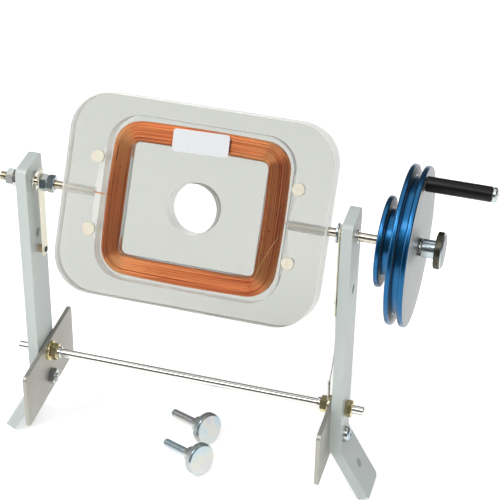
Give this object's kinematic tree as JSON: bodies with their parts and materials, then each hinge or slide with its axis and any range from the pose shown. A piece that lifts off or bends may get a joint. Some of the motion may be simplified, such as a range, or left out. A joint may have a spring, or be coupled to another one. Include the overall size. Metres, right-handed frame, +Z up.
{
  "type": "rotating induction coil",
  "caption": "Flat wire coil sealed between clear plates, turning on half shafts between bent flat-bar uprights, with a stepped belt pulley and crank grip, for showing induced voltage.",
  "frame": {"origin": "on the table, midway between the uprights and under the shaft", "axes": "+X along the shaft towards the pulley and crank, +Y to the back, +Z up"},
  "size_m": [0.2264, 0.07, 0.1876],
  "materials": {
    "upright_paint": "satin",
    "foot_sheet": "satin",
    "zinc_steel": "zinc plated",
    "bright_steel": "drawn",
    "brass": "turned",
    "tinned_metal": "tinned",
    "nickel_silver": "rolled strip",
    "fibre": "matte",
    "clear_acrylic": "clear, polished",
    "nylon": "natural",
    "copper_wire": "enamelled copper",
    "label_paper": "matte",
    "blue_anodised": "anodised",
    "black_plastic": "satin"
  },
  "bodies": {
    "frame": {"left_upright": "upright_paint", "right_upright": "upright_paint", "left_foot_plate": "foot_sheet", "right_foot_plate": "foot_sheet", "plate_screws": "zinc_steel", "plate_nuts": "zinc_steel", "tie_rod": "bright_steel", "rod_inner_nuts": "brass", "rod_washers": "brass", "rod_outer_nut": "brass", "solder_tag": "tinned_metal", "jumper_wire": "tinned_metal", "left_spring": "nickel_silver", "right_spring": "nickel_silver", "spring_spacers": "fibre", "spring_screws": "zinc_steel", "left_bush": "bright_steel", "right_bush": "bright_steel"},
    "rotor": {"left_half_shaft": "brass", "right_half_shaft": "brass", "stop_washer": "zinc_steel", "stop_nuts": "zinc_steel", "rub_nuts": "zinc_steel", "rub_washer": "zinc_steel", "front_plate": "clear_acrylic", "back_plate": "clear_acrylic", "nylon_screws": "nylon", "coil_core": "copper_wire", "coil_winding": "copper_wire", "coil_leads": "copper_wire", "label": "label_paper", "small_pulley": "blue_anodised", "large_pulley": "blue_anodised", "crank_pin": "zinc_steel"},
    "lock_washer": {"lock_washer": "zinc_steel"},
    "thumb_nut": {"thumb_nut": "zinc_steel"},
    "crank_grip": {"crank_grip": "black_plastic"},
    "thumb_screw_back": {"thumb_screw_back": "zinc_steel"},
    "thumb_screw_front": {"thumb_screw_front": "zinc_steel"}
  },
  "joints": [
    {"name": "rotor_spin", "type": "hinge", "parent": "frame", "child": "rotor", "pos_m": [0, 0, 0.14518], "axis": [1, 0, 0], "continuous": true},
    {"name": "crank_grip_spin", "type": "hinge", "parent": "rotor", "child": "crank_grip", "pos_m": [0.1189, 0.00243, 0.17608], "axis": [1, 0, 0], "continuous": true},
    {"name": "lock_washer_slide", "type": "slide", "parent": "rotor", "child": "lock_washer", "axis": [1, 0, 0], "range_m": [0, 0.007]},
    {"name": "thumb_nut_turn", "type": "hinge", "parent": "lock_washer", "child": "thumb_nut", "pos_m": [0.1099, 0, 0.14518], "axis": [1, 0, 0], "range_deg": [0, 3600]},
    {"name": "thumb_screw_back_lift", "type": "slide", "parent": "frame", "child": "thumb_screw_back", "axis": [0, 0, 1], "range_m": [0, 0.025]},
    {"name": "thumb_screw_front_lift", "type": "slide", "parent": "frame", "child": "thumb_screw_front", "axis": [0, 0, 1], "range_m": [0, 0.025]}
  ],
  "couplings": [
    {"joint": "lock_washer_slide", "follows": "thumb_nut_turn", "m_per_rad": 0.00011141}
  ]
}
